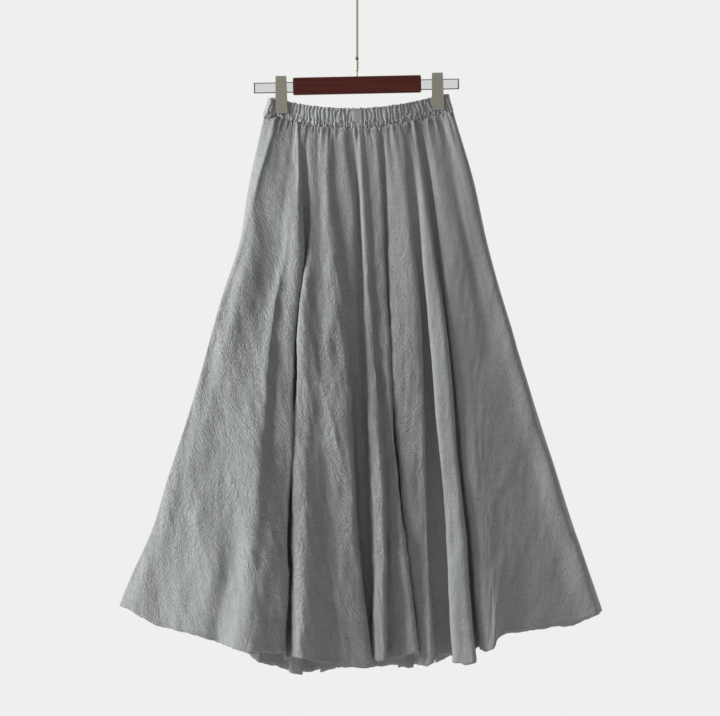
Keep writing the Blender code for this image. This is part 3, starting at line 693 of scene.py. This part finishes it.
shares = np.linspace(0, 1, BAND_ROWS + 1)
rings = []
for share in shares:
    ring, round_length = band_ring(BAND_HALF_TOP + (BAND_HALF_BOTTOM - BAND_HALF_TOP) * share, BAND_COLUMNS)
    ring[:, 2] = band_top(ring[:, 0]) - share * BAND_HEIGHT
    rings.append(ring)
band = np.array(rings)
run = np.linspace(0, round_length, BAND_COLUMNS + 1)[None, :]
height = shares[:, None]
drift = 0.0044 * soft_noise(run / 0.011, height * 1.7, 3.0)
drift += 0.0030 * soft_noise(run / 0.04, height * 2.2, 6.0)
rib_count = round(round_length / RIB_PITCH)
ribs = np.abs(np.cos(math.pi * (run + drift) * rib_count / round_length)) ** 0.55
ribs *= 0.74 + 0.62 * soft_noise(run / 0.008, height * 1.9, 9.0)
print("waistband round, mm:", round(round_length * 1000), "ribs:", rib_count)

# %% Push the ribs, the frill and the ruffle out of the ring
front_middle = run[0][np.argmin(np.where(band[0, :, 1] < 0, np.abs(band[0, :, 0] - 0.001), 9.0))]
patch = 1 - eased((np.abs(run - front_middle) - 0.0065) / 0.004)
stitched = np.exp(-(((height - UPPER_SEAM) / 0.035) ** 2)) + np.exp(-(((height - LOWER_SEAM) / 0.05) ** 2))
depth = RIB_DEPTH * (ribs - 1.0) * (1 - patch) - 0.0004 * patch - 0.0007 * stitched
frill = np.clip(1 - height / UPPER_SEAM, 0, 1)
depth += 0.0004 * frill * soft_noise(run / 0.0035, height, 21.0)
ruffle = eased((height - 0.58) / 0.12) * (1 - 0.6 * patch)
depth += 0.0022 * ruffle * soft_noise(run / 0.0030, height * 5.5, 25.0)
normals = outward(band)
band = band + normals * (depth + BAND_WALL / 2)[..., None]
band[..., 2] += 0.0020 * (1 - height) * soft_noise(run / 0.0045, 0.0, 14.0)
band[..., 2] += height**2 * seam_flutter(band[..., 0], np.sign(band[..., 1]))
print("ribs and ruffle, mm in and out:", round(1000 * depth.min(), 1), round(1000 * depth.max(), 1))

# %% Make the waistband
BAND_CRUMPLE = 0.25  # how strongly the creases show on it
BAND_TAKE_UP = 1.6  # the cloth in the casing is this much longer than the ring it is gathered into
bm, flat = grid_mesh(BAND_COLUMNS, BAND_ROWS)
uv = np.stack(np.broadcast_arrays(run * BAND_TAKE_UP, (1 - height) * BAND_HEIGHT), axis=-1).reshape(-1, 2)
place_points(bm, flat, band.reshape(-1, 3).tolist(), uv.tolist(), np.full(len(uv), BAND_CRUMPLE))
bmesh.ops.remove_doubles(bm, verts=bm.verts, dist=0.00002)
band_cloth = make_cloth("shirred cloth", tuple(1.13 * c for c in CLOTH_COLOUR), BAND_CREASE_DEPTH)
waistband = finish_cloth("shirred_waistband", bm, BAND_CLOTH_THICK, -1.0, band_cloth)
print("waistband faces:", len(waistband.data.polygons))

# %% [markdown]
# ## The front and back of the skirt
#
# Each panel is a grid of cloth laid over the fold lines. First comes the plain shape, one slice for
# each row of the grid. The small things are then pushed out from it along its own normals: gathers
# under the waistband that die out down the cloth, slow waves, crumples, and a narrow rolled hem that
# wanders a little. Simulating a skirt this long would move its folds about, so they are placed.


# %% Slices through the fold lines
def slice_points(places, outs, drops, v, facing):
    """The points of all fold lines at one share of the way down. Facing is -1 for the front."""
    # The sides draw in a little at the hips and again at the calf, the left side more.
    hip = np.where(places < 0, 0.040, 0.012) * np.exp(-(((v - 0.25) / 0.085) ** 2))
    calf = np.where(places < 0, 0.020, 0.004) * np.exp(-(((v - 0.84) / 0.08) ** 2))
    places = places * (1 - hip - calf)
    outs = outs.copy()
    outs[[0, -1]] = 0.0  # the side seams lie in the skirt's middle plane
    seam_z = band_top(np.clip(places, -0.16, 0.166)) - BAND_HEIGHT
    hem_z = BAR_Z - drops * MM
    return np.stack([places, facing * outs, seam_z + (hem_z - seam_z) * v], axis=1)


def line_outs(places, outs, v):
    """How far each fold line stands out at one share of the way down. Gathers start flat at the seam."""
    at_waist = band_front(places[0]) + outs[0] * MM
    levels = np.vstack([at_waist, outs[1:] * MM])
    now = np.array([smooth_through(LEVELS, column, v) for column in levels.T])
    return now - 0.6 * outs[0] * MM * (1 - eased(v / 0.03))


FRONT_PLACES = np.array([line[1] for line in FRONT_LINES], float).T * MM
FRONT_OUTS = np.array([line[2] for line in FRONT_LINES], float).T
FRONT_DROPS = np.array([line[3] for line in FRONT_LINES], float)


def front_slice(v):
    """The front's fold lines at one share of the way down."""
    places = np.array([smooth_through(LEVELS, column, v) for column in FRONT_PLACES.T])
    return slice_points(places, line_outs(FRONT_PLACES, FRONT_OUTS, v), FRONT_DROPS, v, -1)


BACK_WAIST = np.array([line[1] for line in BACK_LINES], float) * MM
BACK_FOOT = np.array([line[2] for line in BACK_LINES], float) * MM
BACK_REACH = np.array([line[3] for line in BACK_LINES], float)
BACK_DROPS = smooth_through([p * MM for p, _ in BACK_HEM], [d for _, d in BACK_HEM], BACK_FOOT)


def back_slice(v):
    """The back's fold lines at one share of the way down. Its side seams are the front's."""
    flare = smooth_through(LEVELS, BACK_FLARE, v)
    places = BACK_WAIST + (BACK_FOOT - BACK_WAIST) * flare
    places[0] = smooth_through(LEVELS, FRONT_PLACES[:, 0], v)
    places[-1] = smooth_through(LEVELS, FRONT_PLACES[:, -1], v)
    side = np.where(places < 0, -places[0], places[-1])
    taper = np.sqrt(np.maximum(0.0, 1 - (places / side) ** 2))
    settle = eased(v / 0.4)
    floor_out = (1 - settle) * 0.75 * band_front(places) + settle * FLOOR_DEPTH * taper
    fold_depth = GATHER_DEPTH + (FOLD_DEPTH - GATHER_DEPTH) * v**0.85
    return slice_points(places, floor_out + BACK_REACH * fold_depth, BACK_DROPS, v, 1)


# %% The panel maker
PANEL_COLUMNS, PANEL_ROWS = 372, 120
SHORTEST_BEND = 0.020  # gives short, sharp bends a fair share of the columns
HEM_STITCH_HEIGHT = 0.0085


def row_places():
    """How far down each row of the grid is: closer together under the waistband and at the hem."""
    steady = np.linspace(0, 1, PANEL_ROWS + 1)
    return steady - 0.035 * np.sin(2 * math.pi * steady)


def plain_grid(slice_at, facing):
    """The panel's plain shape: a grid of points, one slice through the fold lines to a row."""
    hem_row, knee_row, waist_row = slice_at(1.0), slice_at(0.5), slice_at(0.02)
    lengths = sum(np.linalg.norm(np.diff(r, axis=0), axis=1) for r in (hem_row, knee_row, 2 * waist_row))
    run = np.concatenate([[0], np.cumsum(lengths + SHORTEST_BEND)])
    at = np.interp(np.linspace(0, run[-1], PANEL_COLUMNS + 1), run, np.arange(len(run)))
    grid = np.array([curve_through(slice_at(v), at) for v in row_places()])
    return grid[:, ::-1] if facing > 0 else grid


def small_shapes(u, waist_u, down, above_hem, crumple, seed):
    """How far the small shapes push each point out, from where it is across and down the cloth."""
    # Gathers die out below the waistband.
    gather = 0.0046 * soft_noise(waist_u / 0.0036, down / 0.030, seed) * np.exp(-down / 0.013)
    gather += 0.0032 * soft_noise(waist_u / 0.0075, down / 0.25, seed + 5) * np.exp(-down / 0.055)
    gather *= eased(down / 0.006) * 0.8 + 0.2
    # Slow waves, and the crumples that still show as shape.
    wave = (0.0020 + 0.0055 * crumple) * soft_noise(u / 0.060, down / 0.26, seed + 11) * eased(down / 0.15)
    rough = 0.0022 * crumple * soft_noise((u + 0.3 * down) / 0.022, down / 0.070, seed + 17)
    rough += 0.0013 * crumple * soft_noise(u / 0.010, down / 0.022, seed + 23)
    streak = 0.0016 * crumple * soft_noise((u - 0.12 * down) / 0.0085, down / 0.11, seed + 27)
    rough += streak * eased((down - 0.10) / 0.2)
    rough *= eased(down / 0.04)
    # The rolled hem: a soft thick edge with a stitched groove above it, and puckers.
    roll = 0.0007 * np.exp(-(((above_hem - 0.003) / 0.003) ** 2))
    roll -= 0.0006 * np.exp(-(((above_hem - HEM_STITCH_HEIGHT) / 0.0015) ** 2))
    pucker = 0.0030 * soft_noise(u / 0.013, 0.0, seed + 31) * np.exp(-above_hem / 0.020)
    return gather + wave + rough + roll + pucker


def make_panel(name, slice_at, crumple_at, seed, facing):
    """The front or the back: the piece, its grid of points, and how far each is above the hem."""
    grid = plain_grid(slice_at, facing)
    across, down = run_along(grid, axis=1), run_along(grid)
    width = across[:, -1:]
    u = across - width / 2
    waist_u = (across / width) * width[0]
    above_hem = down[-1:] - down
    crumple = np.clip(crumple_at(grid) + 0.4 * np.exp(-down / 0.014), 0.0, 1.0)
    # The side edges stay where they are sewn.
    share = np.linspace(0, 1, PANEL_COLUMNS + 1)[None, :]
    free = eased(np.minimum(share, 1 - share) / 0.02)
    out = small_shapes(u, waist_u, down, above_hem, crumple, seed) * free
    grid = grid + outward(grid) * out[..., None]
    # The waist seam and the hem wander up and down a little.
    grid[..., 2] += seam_flutter(grid[..., 0], facing) * np.exp(-down / 0.010)
    flutter = 0.0036 * soft_noise(u / 0.028, 0.0, seed + 41)
    flutter += 0.0020 * soft_noise(u / 0.009, 0.0, seed + 43)
    grid[..., 2] += flutter * np.exp(-above_hem / 0.04) * free
    bm, flat = grid_mesh(PANEL_COLUMNS, PANEL_ROWS)
    uv = np.stack([u + seed, above_hem], axis=-1).reshape(-1, 2)
    place_points(bm, flat, grid.reshape(-1, 3).tolist(), uv.tolist(), crumple.ravel().tolist())
    piece = finish_cloth(name, bm, CLOTH_THICK, 0.0, cloth)
    corners = np.cross(np.diff(grid, axis=1)[:-1], np.diff(grid, axis=0)[:, :-1])
    area = float(np.sum(np.linalg.norm(corners, axis=2)))
    print(f"{name}: hem {width[-1, 0]:.3f} m, waist {width[0, 0]:.3f} m, area {area:.3f} m2")
    print(f"{name}: faces {len(piece.data.polygons)}")
    return piece, grid, above_hem


# %% Make the front and the back
def front_crumple(grid):
    """The front is most crumpled on its left and low in its middle, and nearly smooth on its right."""
    x, z = grid[..., 0], grid[..., 2]
    left = 1 - eased((x + 0.05) / 0.25)
    smooth_corner = eased((-z - 0.90) / 0.2) * eased((-x - 0.12) / 0.06)
    patches = 0.16 * np.sin(9 * x + 4 * z) * np.sin(7 * z - 3 * x)
    top_middle = eased((z + 0.55) / 0.2) * eased((x + 0.09) / 0.06)
    low_middle = eased((-z - 0.55) / 0.2) * (1 - eased((x - 0.10) / 0.06)) * eased((x + 0.20) / 0.06)
    crumpled = 0.32 + 0.66 * left - 0.42 * smooth_corner - 0.36 * top_middle + 0.40 * low_middle + patches
    calm_hips = 0.45 + 0.55 * eased((-z - 0.30) / 0.35)
    return np.clip(crumpled * calm_hips, 0.15, 1.0)


def back_crumple(grid):
    """The back's crumples come and go in one slow slanting wave."""
    x, z = grid[..., 0], grid[..., 2]
    return 0.35 + 0.45 * (0.5 + 0.5 * np.sin(5 * x + 3 * z))


front_panel, front_grid, front_above = make_panel("front_cloth", front_slice, front_crumple, 2.0, -1)
back_panel, back_grid, back_above = make_panel("back_cloth", back_slice, back_crumple, 7.0, 1)

# %% [markdown]
# ## The stitches
#
# Two lines of stitching hold the elastic in its casing, and one holds the rolled hem. Each stitch
# is a small long bead laid on the cloth, turned to follow the line and the slope under it. A line
# drawn in the cloth's colour would be quicker, but it would stay flat when the light is low, and
# real beads throw the small shadows that make a seam look sewn. All the beads of a line are one
# mesh, so they stay cheap.


# %% Sew the stitches
STITCH_PITCH = 0.0033
STITCH_SIZE = (0.0025, 0.0006, 0.0005)  # along the line, across it, and up from the cloth
thread_colour = tuple(0.72 * c for c in CLOTH_COLOUR)
thread = make_speckled("sewing thread", thread_colour, 0.8, 0.0, 0.08, speckle=500.0)


def sew(name, line, out, lift):
    """A row of beads along a line of points; out holds the cloth's unit normal at each point."""
    run = run_along(line)
    places = np.arange(STITCH_PITCH, run[-1] - STITCH_PITCH, STITCH_PITCH)
    half = STITCH_SIZE[0] / 2
    bm = bmesh.new()
    for place in places:
        start, middle, end = (Vector(points_at(line, run, at)) for at in (place - half, place, place + half))
        up = Vector(points_at(out, run, place)).normalized()
        along = (end - start).normalized()
        side = up.cross(along).normalized()
        turn = Matrix((along, side, along.cross(side))).transposed().to_4x4()
        bead = Matrix.Translation(middle + up * lift) @ turn @ Matrix.Diagonal((*STITCH_SIZE, 1.0))
        bmesh.ops.create_icosphere(bm, subdivisions=1, radius=0.5, matrix=bead)
    mesh = bpy.data.meshes.new(name)
    bm.to_mesh(mesh)
    bm.free()
    mesh.materials.append(thread)
    stitches = bpy.data.objects.new(name, mesh)
    bpy.context.scene.collection.objects.link(stitches)
    print(f"{name}: {len(places)} stitches, {len(mesh.polygons)} faces")
    return stitches


def level_line(grid, above, wanted):
    """The points of a grid at a wanted height above its hem, one for each column."""
    row = np.argmin(np.abs(above - wanted), axis=0)
    column = np.arange(grid.shape[1])
    return grid[row, column], outward(grid)[row, column]


stitch_lines = [
    sew("front_hem_stitches", *level_line(front_grid, front_above, HEM_STITCH_HEIGHT), CLOTH_THICK / 2),
    sew("back_hem_stitches", *level_line(back_grid, back_above, HEM_STITCH_HEIGHT), CLOTH_THICK / 2),
]
band_out = outward(band)
for name, share in (("upper_casing_stitches", UPPER_SEAM), ("lower_casing_stitches", LOWER_SEAM)):
    row = round(share * BAND_ROWS)
    stitch_lines.append(sew(name, band[row], band_out[row], 0.0001))

# %% [markdown]
# ## Tie the pieces to the frame
#
# Each cloth piece takes the place of its plain CAD solid, which is hidden, wears a cloth finish
# made above, and is tied to the root with the stitches.

for piece, node_name in ((front_panel, "front_panel"), (back_panel, "back_panel"), (waistband, "waistband")):
    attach(piece, "root")
    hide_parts(node_name)
for stitches in stitch_lines:
    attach(stitches, "root")
